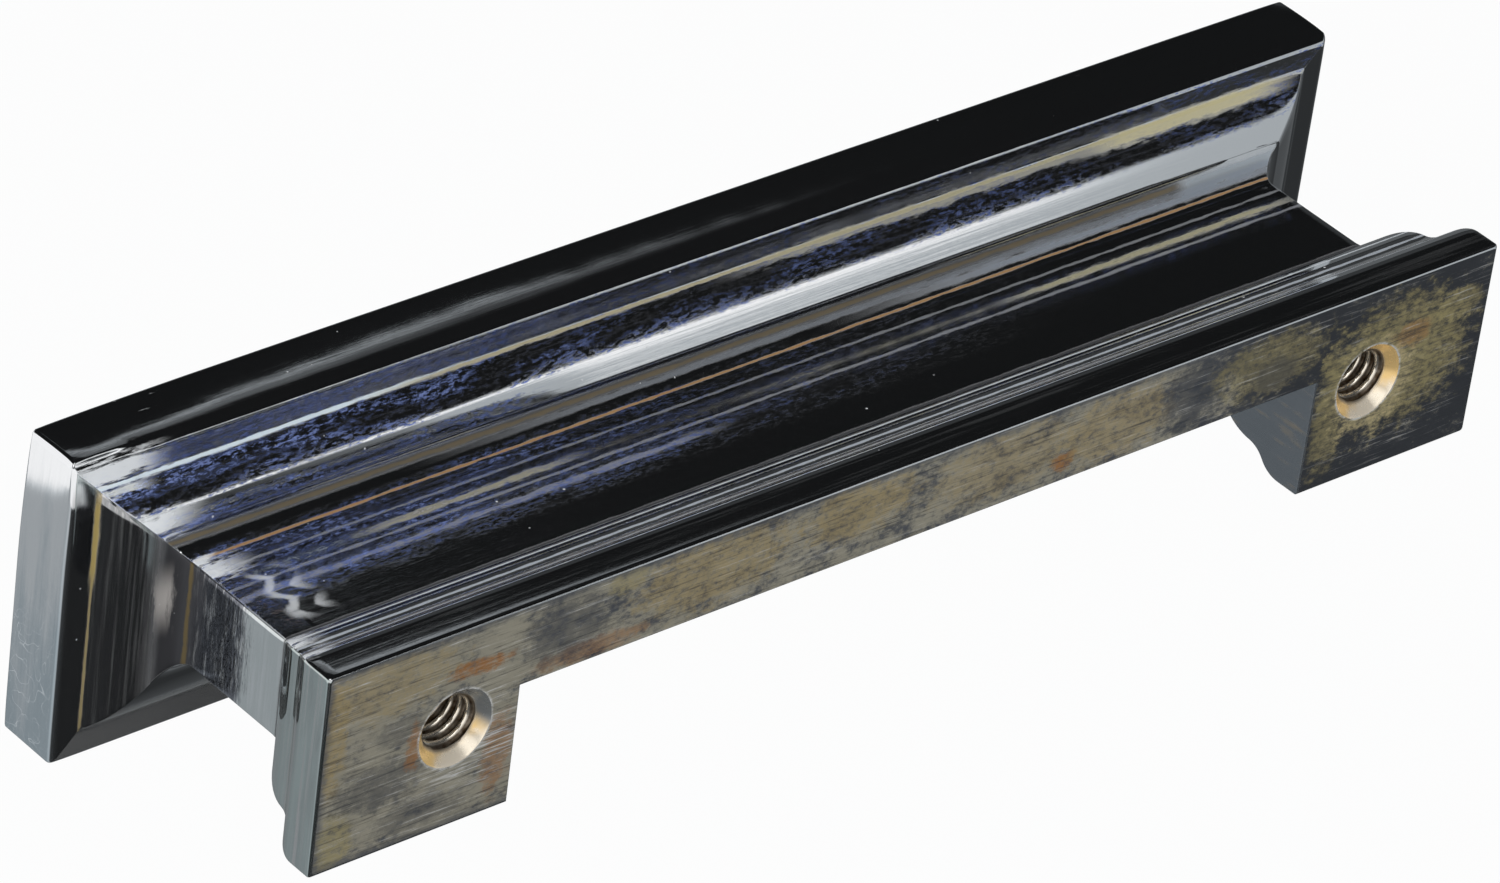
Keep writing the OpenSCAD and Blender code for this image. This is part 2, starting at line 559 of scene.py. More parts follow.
@dataclass(frozen=True)
class TappedHoles:
    """The two threaded holes: their sizes in millimetres, and the plugs that cut them."""

    spacing: float = 76.2
    major_r: float = 2.083
    minor_r: float = 1.72
    pitch: float = 0.794
    depth: float = 12.0
    mouth_r: float = 2.75
    drill_point: float = 118.0
    overshoot: float = 0.4
    burr: float = 0.12
    rim_roll: float = 0.04
    rim_depth: float = 0.07
    tip_scale: float = 1.004
    flats: Point = (0.1, 0.9)
    segments: int = 64
    rings_per_turn: int = 14

    @property
    def point(self) -> float:
        """Length of the drill point."""
        return self.minor_r / math.tan(math.radians(self.drill_point / 2))

    def build(self) -> bpy.types.Object:
        """Builds the two threaded plugs that cut the screw holes, with Geometry Nodes.

        Returns:
            One plain mesh object holding both plugs.
        """
        sizes = {
            "Major Radius": self.major_r,
            "Minor Radius": self.minor_r,
            "Pitch": self.pitch,
            "Depth": self.depth,
            "Mouth Radius": self.mouth_r,
            "Overshoot": self.overshoot,
            "Point": self.point,
            "Spacing": self.spacing,
        }
        tree = bpy.data.node_groups.new("tapped_holes", "GeometryNodeTree")
        sockets = {}
        for name in sizes:
            sockets[name] = tree.interface.new_socket(name, in_out="INPUT", socket_type="NodeSocketFloat")
        tree.interface.new_socket("Geometry", in_out="OUTPUT", socket_type="NodeSocketGeometry")
        graph = Graph(tree)
        inputs = graph.add("NodeGroupInput")
        size = {name: inputs.out(name) for name in sizes}
        graph.add("NodeGroupOutput", None, [self._pair(graph, size, self._plug(graph, size))])
        piece = make_mesh("tap", np.zeros((0, 3)), [])
        modifier = piece.modifiers.new("tapped_holes", "NODES")
        modifier.node_group = tree
        for name, number in sizes.items():
            modifier[sockets[name].identifier] = number
        bpy.context.view_layer.update()
        apply_modifiers(piece)
        paint(piece, Region.BORE)
        return piece

    def _plug(self, graph: Graph, size: Mapping[str, Expr]) -> Expr:
        """Adds the nodes of one plug: a barrel with its points moved out to the thread.

        Args:
            graph: The graph to add to.
            size: The tree's inputs, by name.

        Returns:
            The plug's geometry.
        """
        length = size["Overshoot"] + size["Depth"] + size["Point"]
        rings = round((self.overshoot + self.depth + self.point) / self.pitch * self.rings_per_turn)
        barrel = graph.add(
            "GeometryNodeMeshCylinder",
            {"fill_type": "NGON"},
            {
                "Vertices": self.segments,
                "Side Segments": rings,
                "Fill Segments": 1,
                "Radius": 1.0,
                "Depth": 1.0,
            },
        )
        px = graph.add("ShaderNodeSeparateXYZ", None, [graph.add("GeometryNodeInputPosition")])
        py, pz = px.out(1), px.out(2)
        angle = py.angle_from(px)
        into = (0.5 - pz) * length - size["Overshoot"]
        phase = (into / size["Pitch"] + angle / (2 * math.pi)).fraction()
        groove = (1 - abs(phase * 2 - 1)).ramp(*self.flats)
        thread = size["Minor Radius"].toward(size["Major Radius"], groove)
        uneven = graph.noise(px * 4, py * 4, 0.0, detail=3.0) - 0.5
        mouth = size["Mouth Radius"] + uneven * self.burr
        lead_in = mouth - into.at_least(0.0) + into.ramp(self.rim_depth, 0.0) * self.rim_roll
        past = (into - size["Depth"]).at_least(0.0) / size["Point"]
        tip = size["Minor Radius"] * (self.tip_scale - past)
        radius = thread.at_least(lead_in).toward(tip, into.above(size["Depth"]))
        place = graph.vector(angle.cosine() * radius, -into, -angle.sine() * radius)
        return graph.add("GeometryNodeSetPosition", None, {"Geometry": barrel, "Position": place})

    @staticmethod
    def _pair(graph: Graph, size: Mapping[str, Expr], plug: Expr) -> Expr:
        """Adds the nodes that set a plug at each hole, as real geometry in metres.

        Args:
            graph: The graph to add to.
            size: The tree's inputs, by name.
            plug: The plug's geometry.

        Returns:
            The geometry of both plugs.
        """
        ends = {
            "Start Location": graph.vector(size["Spacing"] * -0.5, 0.0, 0.0),
            "Count": 2,
            "Offset": graph.vector(size["Spacing"] * 0.5, 0.0, 0.0),
        }
        row = graph.add("GeometryNodeMeshLine", {"mode": "END_POINTS", "count_mode": "TOTAL"}, ends)
        both = graph.add("GeometryNodeInstanceOnPoints", None, {"Points": row, "Instance": plug})
        real = graph.add("GeometryNodeRealizeInstances", None, {"Geometry": both})
        scaled = graph.add("GeometryNodeTransform", None, {"Geometry": real, "Scale": (MM, MM, MM)})
        return graph.add("GeometryNodeSetMaterial", None, {"Geometry": scaled})


def smooth(values: np.ndarray | float) -> np.ndarray:
    """Eases values between 0 and 1 at both ends."""
    held = np.clip(values, 0, 1)
    return held * held * (3 - 2 * held)


def wander(x: np.ndarray) -> np.ndarray:
    """A slow uneven wave along the pull, between about -1 and 1."""
    return (np.sin(x * 0.147 + 0.6) + 0.6 * np.sin(x * 0.291 + 2.1) + 0.35 * np.sin(x * 0.61 + 0.4)) / 1.6


@dataclass
class PullBody:
    """The one solid piece: its sizes in millimetres, and the methods that build it."""

    plate_half: Point
    moulding: Moulding
    buffing: Buffing = field(default_factory=Buffing)
    holes: TappedHoles = field(default_factory=TappedHoles)
    foot_len: float = 15.3
    bar_h: float = 6.0
    pocket_depth: float = 17.0
    pocket_corner_r: float = 1.5
    pocket_ease: float = 0.12
    cut_past: float = 1.0
    cut_below: float = 5.0
    mitre_r: float = 0.22
    long_steps: int = 130
    short_steps: int = 26
    mitre_steps: int = 6
    cap_shares: tuple[float, ...] = (0.0, 0.12, 0.3, 0.5, 0.7, 0.86, 0.95, 0.985)
    sharp_angle: float = 35.0
    normal_lead: int = 60
    weld_gap: float = 0.002

    def half(self, reach: float) -> Point:
        """Half the length and height of the section at a reach."""
        inset = self.moulding.neck_inset - reach
        return self.plate_half[0] - inset, self.plate_half[1] - inset

    def ring(self, reach: float) -> np.ndarray:
        """One turn round the body.

        Args:
            reach: Distance outwards from the neck's face.

        Returns:
            Points as X and Z, with a small round at each mitre.
        """
        half = self.half(reach)
        radius = max(0.0, min(self.mitre_r, half[1]))
        inner = (half[0] - radius, half[1] - radius)
        corners = ((1, 1), (-1, 1), (-1, -1), (1, -1))
        steps = (self.long_steps, self.short_steps) * 2
        arcs = []
        for index, (sx, sz) in enumerate(corners):
            turn = np.radians(90 * index + np.linspace(0, 90, self.mitre_steps + 1))
            spots = (sx * inner[0] + radius * np.cos(turn), sz * inner[1] + radius * np.sin(turn))
            arcs.append(np.stack(spots, -1))
        rows = []
        for index, count in enumerate(steps):
            first, last = arcs[index][-1], arcs[(index + 1) % 4][0]
            shares = np.arange(1, count)[:, None] / count
            rows += [arcs[index], first + (last - first) * shares]
        return np.concatenate(rows)

    def stations(self) -> list[Point]:
        """Reach and depth of every ring, from the middle of the front face to the middle of the back.

        Returns:
            The rings' reaches and depths, in order.
        """
        outline = self.moulding.outline()
        middle = self.moulding.neck_inset - self.plate_half[1]
        to_front, to_back = outline[0][0] - middle, outline[-1][0] - middle
        front = [(middle + to_front * share, self.moulding.depth) for share in self.cap_shares]
        back = [(middle + to_back * share, 0.0) for share in reversed(self.cap_shares)]
        return front + outline + back

    def worn(self, ring: np.ndarray, reach: float, depth: float) -> np.ndarray:
        """Wears one ring as hand buffing does.

        Args:
            ring: The ring's points as X and Z.
            reach: The ring's reach.
            depth: The ring's depth.

        Returns:
            The worn points as X, Y and Z.
        """
        wear, form, half = self.buffing, self.moulding, self.half(reach)
        x, z = ring[:, 0], ring[:, 1]
        upper, nearer = z > 0, x > 0
        from_end, from_top = half[0] - np.abs(x), half[1] - np.abs(z)
        by_end, by_top = smooth(1 - from_end / wear.end_run), smooth(1 - from_top / wear.top_run)
        on_plate = smooth((depth - form.plate_back) / wear.plate_ease) * smooth(reach - wear.plate_from)
        level = np.interp(x, *zip(*wear.crown_line)) + wear.crown_wave * wander(x * 2.2)
        crown = wear.crown * (depth - level) ** 2 * upper
        on_swell = form.crest_at - 0.01 < depth < form.plate_back and reach < form.strip_end
        mitre = np.exp(-np.abs(from_end - from_top) / wear.mitre_run)
        mitre_rub = wear.mitre_rub * (depth > wear.rub_from)
        rub = mitre_rub + wear.swell_rub * (on_swell and reach > form.cove_r)
        ripple = wear.ripple * on_plate * (wander(x * 3.1 + depth) + 0.6 * wander(x * 6.3 - depth * 2))
        lower = by_top * (on_plate * (crown - wear.top_rise * upper) + ripple + rub * mitre)
        rise = np.maximum(z + wear.bow_twist * (depth - wear.bow_level) - wear.bow_from, 0) * nearer
        shorter = by_end * (on_plate * wear.end_bow * rise**2 + mitre_rub * mitre)
        facet = form.facet_shift(reach) if on_swell else 0.0
        deeper = facet * smooth((wear.facet_from - x) / (wear.facet_from - wear.facet_to))
        if reach > form.strip_end and depth > form.crest_at:
            on_strip = 1 - smooth((depth - form.plate_back) / wear.strip_ease)
            turned = wear.strip_turn * on_strip * (reach - form.strip_end) / form.strip_w
            deeper = deeper + turned * by_top * smooth((x - wear.strip_from) / wear.strip_run) * upper
        return np.stack([x - np.sign(x) * shorter, -(depth + deeper), z - np.sign(z) * lower], -1)

    def shell(self) -> bpy.types.Object:
        """Builds the body before the pocket and the holes are cut.

        Returns:
            The body before the cuts, with its faces in their regions.
        """
        stations = self.stations()
        rows = [self.worn(self.ring(reach), reach, depth) for reach, depth in stations]
        piece = make_mesh("shell", np.concatenate(rows) * MM, ring_faces(len(rows), len(rows[0])))
        weld(piece, self.weld_gap * MM)
        recalculate(piece)
        for polygon in piece.data.polygons:
            on_back = polygon.center.y > -1e-8 and polygon.normal.y > 0.99
            polygon.material_index = Region.BACK.value if on_back else Region.PLATED.value
        return piece

    def pocket_tool(self) -> bpy.types.Object:
        """Builds the cutter of the finger pocket, flared at the back so that its edges are soft.

        Returns:
            The cutter's object.
        """
        base = self.half(self.moulding.base_reach)
        half, top = base[0] - self.foot_len, base[1] - self.bar_h
        radius, ease = self.pocket_corner_r, self.pocket_ease
        flare = ((0.0, 1.0), (0.3, 0.5), (0.7, 0.14), (1.2, 0.0))
        slices = [(self.cut_past, ease)] + [(-along * ease, out * ease) for along, out in flare]
        slices.append((radius - self.pocket_depth, 0.0))
        for angle in np.radians(np.linspace(15, 90, 6)):
            along = radius * (1 - math.sin(angle)) - self.pocket_depth
            slices.append((along, -radius * (1 - math.cos(angle))))
        verts = []
        bottom = -self.plate_half[1] - self.cut_below
        for y, grow in slices:
            wide, high = half + grow, top + max(grow, 0.0)
            verts += [(-wide, y, bottom), (wide, y, bottom), (wide, y, high), (-wide, y, high)]
        last = 4 * (len(slices) - 1)
        ends = [(0, 1, 2, 3), (last, last + 3, last + 2, last + 1)]
        piece = make_mesh("pocket_tool", np.array(verts) * MM, ring_faces(len(slices), 4) + ends)
        recalculate(piece)
        paint(piece, Region.POCKET)
        return piece

    def build(self, materials: Sequence[bpy.types.Material]) -> bpy.types.Object:
        """Cuts the shell with the pocket and the tapped holes, and shades it.

        Args:
            materials: The material of each region, in the regions' order.

        Returns:
            The finished mesh object, at the origin.
        """
        body = self.shell()
        for material in materials:
            body.data.materials.append(material)
        for tool in (self.pocket_tool(), self.holes.build()):
            cut(body, tool)
        self.shade(body)
        return body

    def shade(self, body: bpy.types.Object) -> None:
        """Shades faces smooth with sharp true edges, and lets large faces lead the normals.

        Args:
            body: The body's object.
        """
        mesh = body.data
        mesh.shade_smooth()
        mesh.set_sharp_from_angle(angle=math.radians(self.sharp_angle))

        def part(grid: bmesh.types.BMesh) -> None:
            """Keeps the flat back's shading apart from what is cut into it.

            Args:
                grid: The mesh under edit.
            """
            for edge in grid.edges:
                kinds = {face.material_index for face in edge.link_faces}
                if len(kinds) > 1 and kinds != {Region.BACK.value, Region.PLATED.value}:
                    edge.smooth = False

        edit(body, part)
        lead = body.modifiers.new("lead", "WEIGHTED_NORMAL")
        lead.keep_sharp = True
        lead.weight = self.normal_lead
        apply_modifiers(body)


def ring_faces(rows: int, width: int) -> list[tuple[int, ...]]:
    """Lists the faces between neighbouring rings of points.

    Args:
        rows: How many rings there are.
        width: How many points each ring has.

    Returns:
        Four-sided faces, as places in the list of all points.
    """
    faces = []
    for start in range(0, (rows - 1) * width, width):
        for j in range(width):
            k = (j + 1) % width
            faces.append((start + j, start + k, start + width + k, start + width + j))
    return faces


def make_mesh(name: str, verts: np.ndarray, faces: Sequence[Sequence[int]]) -> bpy.types.Object:
    """Makes a linked mesh object at the origin.

    Args:
        name: Its name.
        verts: Its points, in metres.
        faces: Its faces, as places in the list of points.

    Returns:
        The object.
    """
    mesh = bpy.data.meshes.new(name)
    mesh.from_pydata([tuple(v) for v in verts], [], [tuple(f) for f in faces])
    mesh.update()
    piece = bpy.data.objects.new(name, mesh)
    bpy.context.scene.collection.objects.link(piece)
    return piece


def edit(piece: bpy.types.Object, change: Callable[[bmesh.types.BMesh], object]) -> None:
    """Runs one change on a piece's mesh.

    Args:
        piece: The mesh object.
        change: What is done to its mesh.
    """
    grid = bmesh.new()
    grid.from_mesh(piece.data)
    change(grid)
    grid.to_mesh(piece.data)
    grid.free()
    piece.data.update()


def weld(piece: bpy.types.Object, gap: float) -> None:
    """Merges points closer than the gap, and removes faces with no area.

    Args:
        piece: The mesh object.
        gap: How close two points may be, in metres.
    """

    def change(grid: bmesh.types.BMesh) -> None:
        """Merges doubles and dissolves what collapsed."""
        bmesh.ops.remove_doubles(grid, verts=grid.verts, dist=gap)
        bmesh.ops.dissolve_degenerate(grid, edges=grid.edges, dist=gap / 2)

    edit(piece, change)


def recalculate(piece: bpy.types.Object) -> None:
    """Turns every face outwards."""
    edit(piece, lambda grid: bmesh.ops.recalc_face_normals(grid, faces=grid.faces))


def paint(piece: bpy.types.Object, region: Region) -> None:
    """Gives every face of a piece one region's slot."""
    for polygon in piece.data.polygons:
        polygon.material_index = region.value


def apply_modifiers(piece: bpy.types.Object) -> None:
    """Turns a piece with modifiers into a plain mesh.

    Args:
        piece: The mesh object.
    """
    graph = bpy.context.evaluated_depsgraph_get()
    mesh = bpy.data.meshes.new_from_object(piece.evaluated_get(graph), depsgraph=graph)
    piece.modifiers.clear()
    piece.data = mesh


def cut(body: bpy.types.Object, tool: bpy.types.Object) -> None:
    """Takes a tool's space out of the body, and removes the tool.

    Args:
        body: The body's object.
        tool: The object whose space is taken out.
    """
    modifier = body.modifiers.new("cut", "BOOLEAN")
    modifier.operation = "DIFFERENCE"
    modifier.solver = "EXACT"
    modifier.material_mode = "INDEX"
    modifier.object = tool
    bpy.context.view_layer.update()
    apply_modifiers(body)
    bpy.data.objects.remove(tool)


class Place:
    """Where a point of the surface lies, in millimetres, as sockets of one material."""

    def __init__(self, graph: Graph, neck_half: Point) -> None:
        """Adds the nodes that read a point's place.

        Args:
            graph: The material's graph.
            neck_half: Half the neck's length and height.
        """
        spot = graph.add("ShaderNodeTexCoord", None, (), "Object")
        scaled = graph.add("ShaderNodeVectorMath", {"operation": "SCALE"}, {"Vector": spot, "Scale": 1 / MM})
        self.graph = graph
        self.x = graph.add("ShaderNodeSeparateXYZ", None, [scaled])
        self.y, self.z = self.x.out(1), self.x.out(2)
        beyond_end, beyond_top = abs(self.x) - neck_half[0], abs(self.z) - neck_half[1]
        self.depth = -self.y
        self.reach = beyond_end.at_least(beyond_top)
        self.end = (beyond_end - beyond_top).ramp(-0.05, 0.05)
        self.near_end = self.end * self.x.ramp(-1.0, 1.0)
        self.top = (1 - self.end) * self.z.ramp(-1.0, 1.0)
        self.run = self.x.toward(self.z, self.end)

    def from_line(self, reach: float, depth: float) -> Expr:
        """Distance across the moulding from a line that runs all round it."""
        return distance(self.reach - reach, self.depth - depth)

    def upright(self) -> Expr:
        """Noise in fine lines that run up and down the near end."""
        return self.graph.noise(self.depth * 2.6, self.z * 0.3, 3.0, detail=4.0, rough=0.65)

    def along(self, first: float, last: float, fade: float) -> Expr:
        """1 between two places along the moulding's run, with a soft fade at both."""
        return self.run.band(first - fade, first + fade, last - fade, last + fade)


# Depths at which the neck and the plate begin, measured from the back face.
NECK_FROM = 8.4
PLATE_FROM = 21.2
# Places past the pull's far and near ends, for a film that runs right to the end.
FAR = -60.0
NEAR = 60.0


@dataclass(frozen=True)
class Film:
    """A soft stripe that follows the moulding: films lay on tarnish and haze, and also painted highlights
    and painted shade.

    Reach and depth set its line, width its half width, and span the part of the run where it shows:
    X on the long sides, and Z on the near end.
    """

    reach: float
    depth: float
    width: float
    colour: Colour
    strength: float = 1.0
    span: Point = (FAR, NEAR)
    side: Side = Side.TOP
    ragged: float = 0.5
    fade: float = 3.0
    metal: float = 0.5

    def mask(self, place: Place) -> Expr:
        """How much of the film lies at a point.

        Args:
            place: Where a point of the surface lies.

        Returns:
            The amount, from 0 to 1.
        """
        graph = place.graph
        rough = graph.noise(place.run * 0.5, place.reach * 3.0, place.depth * 3.0, detail=6.0, rough=0.65)
        width = rough.swing(3.6 * self.ragged * self.width) + self.width
        amount = place.from_line(self.reach, self.depth).ramp(width * 1.35, width * 0.45) * self.strength
        amount = amount * (rough.swing(1.6 * self.ragged) + 1.1).at_most(1.0)
        if self.span != (FAR, NEAR):
            amount = amount * place.along(*self.span, self.fade)
        if self.side is Side.TOP:
            amount = amount * place.top
        elif self.side is Side.END:
            amount = amount * place.near_end
        return amount


# White for specks and scratches, and for painted highlights and the painted sheen.
WORN_WHITE_AND_HIGHLIGHT: Colour = (0.93, 0.95, 0.97)
# Painted highlight beside the base's near mitre, and the pale colour of painted highlight lines.
BASE_HIGHLIGHT: Colour = (0.90, 0.92, 0.94)
HIGHLIGHT_LINE: Colour = (0.88, 0.90, 0.92)
GOLDEN: Colour = (0.50, 0.44, 0.22)
GLEAM: Colour = (0.60, 0.56, 0.53)
# Near black painted as shade: a dark band on the cove, and the corner where the neck meets the base.
PAINTED_SHADE: Colour = (0.03, 0.03, 0.035)

# The near end: painted shade in the cove with a painted gleam in it, and gold in the corner of the strip.
END_FILMS: tuple[Film, ...] = (
    Film(0.85, 18.2, 1.7, (0.045, 0.045, 0.05), 1.0, side=Side.END, ragged=0.1),
    Film(1.35, 18.85, 0.55, GLEAM, 0.8, span=(-0.7, 2.5), side=Side.END, ragged=0.8, fade=1.5, metal=0.3),
    Film(5.25, 21.1, 0.22, (0.52, 0.39, 0.13), 0.95, span=(2.2, 8.6), side=Side.END, ragged=0.45, fade=1.2),
    Film(5.25, 21.1, 0.10, (0.46, 0.35, 0.14), 0.8, span=(-12.0, 3.0), side=Side.END, ragged=0.6, fade=1.0),
)

# The corner between the flat strip and the swell.
STRIP_FILMS: tuple[Film, ...] = (
    Film(5.25, 21.15, 0.15, (0.80, 0.90, 0.96), 1.0, span=(22.0, NEAR), ragged=1.0, fade=8.0, metal=0.2),
    Film(5.2, 21.1, 0.14, (0.60, 0.52, 0.30), 0.9, span=(-48.0, 27.0), ragged=0.9, fade=5.0, metal=0.3),
    Film(5.0, 20.9, 0.5, (0.58, 0.52, 0.30), 0.9, span=(-47.4, -31.0), ragged=0.6, fade=2.5, metal=0.12),
    Film(5.1, 21.0, 0.34, (0.50, 0.46, 0.30), 0.65, span=(-31.0, -2.0), ragged=0.9, fade=5.0, metal=0.25),
)

# The cove below the crest: a pale band painted as reflection at the far end, bluish bands, and a dark band
# of painted shade, with gold along the dark one.
COVE_FILMS: tuple[Film, ...] = (
    Film(0.95, 18.8, 0.6, (0.40, 0.45, 0.50), 0.85, span=(-50.0, -37.5), ragged=0.3, fade=1.0, metal=0.4),
    Film(0.5, 18.35, 0.28, (0.34, 0.39, 0.47), 0.8, span=(-50.0, -14.0), ragged=0.5, fade=9.0, metal=0.4),
    Film(1.15, 18.95, 0.3, PAINTED_SHADE, 0.85, span=(-37.6, NEAR), ragged=0.2, fade=0.8),
    Film(1.15, 18.95, 0.15, (0.27, 0.20, 0.09), 0.6, span=(-37.2, NEAR), ragged=0.9, fade=1.0, metal=0.35),
    Film(0.72, 18.7, 0.2, (0.42, 0.48, 0.58), 0.5, span=(FAR, 20.0), ragged=0.5, fade=9.0),
)

# The corner where the cove meets the neck.
CORNER_FILMS: tuple[Film, ...] = (
    Film(0.14, 17.9, 0.1, (0.52, 0.28, 0.10), 0.95, ragged=0.8, metal=0.35),
    Film(0.14, 17.9, 0.16, (0.17, 0.12, 0.04), 0.75, side=Side.END, ragged=0.9),
)

# Long streaks of gold, grey and blue on the neck.
NECK_FILMS: tuple[Film, ...] = (
    Film(0.0, 15.3, 0.3, GOLDEN, 0.7, span=(18.0, 33.0), ragged=1.1, metal=0.3),
    Film(0.0, 15.3, 0.28, GOLDEN, 0.8, span=(-44.0, -20.0), ragged=1.1, metal=0.3),
    Film(0.0, 16.5, 0.12, (0.42, 0.44, 0.50), 0.36, ragged=1.1, metal=0.3),
    Film(0.0, 14.4, 0.14, (0.42, 0.44, 0.55), 0.36, ragged=1.1, metal=0.3),
    Film(0.0, 13.3, 0.3, (0.22, 0.28, 0.66), 0.4, span=(8.0, NEAR), ragged=1.2, metal=0.3),
)

# Highlights painted white beside the near mitre.
MITRE_HIGHLIGHTS: tuple[Film, ...] = (
    Film(2.7, 19.4, 0.72, WORN_WHITE_AND_HIGHLIGHT, 1.0, span=(44.6, 52.0), ragged=0.9, fade=2.4, metal=0.2),
    Film(6.2, 21.2, 0.8, WORN_WHITE_AND_HIGHLIGHT, 0.95, span=(45.9, 52.0), ragged=1.2, fade=1.7, metal=0.2),
    Film(4.9, 20.8, 0.35, (0.85, 0.87, 0.85), 0.8, span=(46.8, 52.0), ragged=1.1, fade=1.2, metal=0.2),
    Film(0.1, 16.7, 0.9, WORN_WHITE_AND_HIGHLIGHT, 0.95, span=(42.4, 46.0), ragged=1.5, fade=1.8, metal=0.2),
    Film(0.1, 17.8, 0.25, WORN_WHITE_AND_HIGHLIGHT, 0.9, span=(43.6, 46.0), ragged=0.8, fade=0.8, metal=0.2),
)

# The base: painted highlight lines, painted highlights beside the near mitre, and painted shade in the two
# corners that run all round.
BASE_FILMS: tuple[Film, ...] = (
    Film(1.25, 7.35, 0.22, HIGHLIGHT_LINE, 1.0, span=(4.0, NEAR), ragged=0.5, fade=12.0, metal=0.3),
    Film(1.8, 6.3, 0.12, (0.74, 0.78, 0.82), 1.0, ragged=0.6, metal=0.3),
    Film(2.1, 5.1, 0.12, (0.48, 0.52, 0.58), 0.9, ragged=0.7, metal=0.3),
    Film(2.25, 4.1, 0.18, HIGHLIGHT_LINE, 1.0, span=(-20.0, NEAR), ragged=0.5, fade=14.0, metal=0.3),
    Film(3.2, 3.15, 0.1, (0.60, 0.63, 0.68), 1.0, ragged=0.6, metal=0.3),
    Film(1.7, 6.4, 1.3, BASE_HIGHLIGHT, 0.9, span=(45.2, 50.0), ragged=1.3, fade=1.3, metal=0.2),
    Film(3.35, 3.0, 0.55, BASE_HIGHLIGHT, 0.95, span=(46.4, 50.0), ragged=0.8, fade=1.2, metal=0.2),
    Film(0.05, 8.6, 0.2, PAINTED_SHADE, 0.9, side=Side.ALL, ragged=0.4),
    Film(2.3, 4.4, 0.16, (0.10, 0.09, 0.07), 0.5, side=Side.ALL, ragged=0.9),
)


@dataclass
class Surface:
    """The colour, metal share and roughness of a surface, on which coats are laid in order."""

    graph: Graph
    colour: Expr
    metal: Expr
    rough: Expr

    def cover(self, amount: Expr, colour: Colour, metal: float, rough: float) -> None:
        """Lays a coat over the surface by an amount.

        Args:
            amount: How much of the coat lies at a point, from 0 to 1.
            colour: The coat's colour.
            metal: The coat's metal share.
            rough: The coat's roughness.
        """
        self.colour = self.graph.mix(amount, self.colour, colour)
        self.metal = self.metal.toward(metal, amount)
        self.rough = self.rough.toward(rough, amount)


